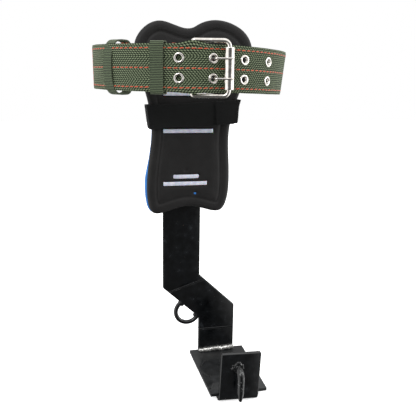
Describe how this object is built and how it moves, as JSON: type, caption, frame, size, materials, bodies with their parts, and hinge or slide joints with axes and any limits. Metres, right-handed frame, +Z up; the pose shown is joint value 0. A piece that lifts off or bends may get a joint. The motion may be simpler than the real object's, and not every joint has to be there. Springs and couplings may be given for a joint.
{
  "type": "tree climbing spur",
  "caption": "Tree climbing spur for one leg: welded flat-bar shank, chequered foot plate, claw on a bent bracket, tied-on calf pad and a webbing belt with a roller buckle.",
  "frame": {"origin": "middle of the foot plate's top face, under the sole of the boot", "axes": "+Z up the leg, -Y from the leg shank across the boot to the claw bracket, +X to the right seen from the claw side"},
  "size_m": [0.2291, 0.1502, 0.4579],
  "materials": {
    "black_enamel": "gloss black enamel over mill steel",
    "claw_steel": "gloss enamel worn towards bare steel at the weld and point",
    "pad_black": "fine-grained closed-cell foam skin, matt",
    "pad_blue": "blue closed-cell foam, matt",
    "band_black": "woven elastic, matt",
    "white_nylon": "natural nylon, satin",
    "green_webbing": "herringbone webbing with stitched stripes",
    "nickel": "bright nickel plate"
  },
  "bodies": {
    "spur": {"belt_eyelets": "nickel", "belt_webbing": "green_webbing", "bracket_welds": "black_enamel", "cable_tie_1": "white_nylon", "cable_tie_2": "white_nylon", "cable_tie_3": "white_nylon", "cable_tie_4": "white_nylon", "claw": "claw_steel", "claw_bracket": "black_enamel", "claw_weld": "claw_steel", "foot_plate": "black_enamel", "keeper_fixed": "green_webbing", "pad_backing": "pad_blue", "pad_band": "band_black", "pad_band_end": "band_black", "pad_face": "pad_black", "ring_welds": "black_enamel", "shank_butt_welds": "black_enamel", "shank_foot_weld": "black_enamel", "shank_lower": "black_enamel", "shank_offset": "black_enamel", "shank_upper": "black_enamel", "strap_ring": "black_enamel"},
    "buckle": {"buckle_frame": "nickel"},
    "roller": {"buckle_roller": "nickel"},
    "prong_upper": {"buckle_prong_upper": "nickel"},
    "prong_lower": {"buckle_prong_lower": "nickel"},
    "sliding_keeper": {"keeper_sliding": "green_webbing"}
  },
  "joints": [
    {"name": "buckle_swing", "type": "hinge", "parent": "spur", "child": "buckle", "pos_m": [-0.065, -0.06576, 0.388], "axis": [0, 0, -1], "range_deg": [0, 3]},
    {"name": "roller_spin", "type": "hinge", "parent": "buckle", "child": "roller", "pos_m": [-0.0276, -0.07509, 0.388], "axis": [0, 0, 1], "continuous": true},
    {"name": "prong_upper_lift", "type": "hinge", "parent": "buckle", "child": "prong_upper", "pos_m": [-0.065, -0.06576, 0.39825], "axis": [0, 0, -1], "range_deg": [0, 6]},
    {"name": "prong_lower_lift", "type": "hinge", "parent": "buckle", "child": "prong_lower", "pos_m": [-0.065, -0.06576, 0.37775], "axis": [0, 0, -1], "range_deg": [0, 6]},
    {"name": "keeper_slide", "type": "hinge", "parent": "spur", "child": "sliding_keeper", "pos_m": [-0.044, 0.043, 0.388], "axis": [0, 0, 1], "range_deg": [-10, 24]}
  ]
}
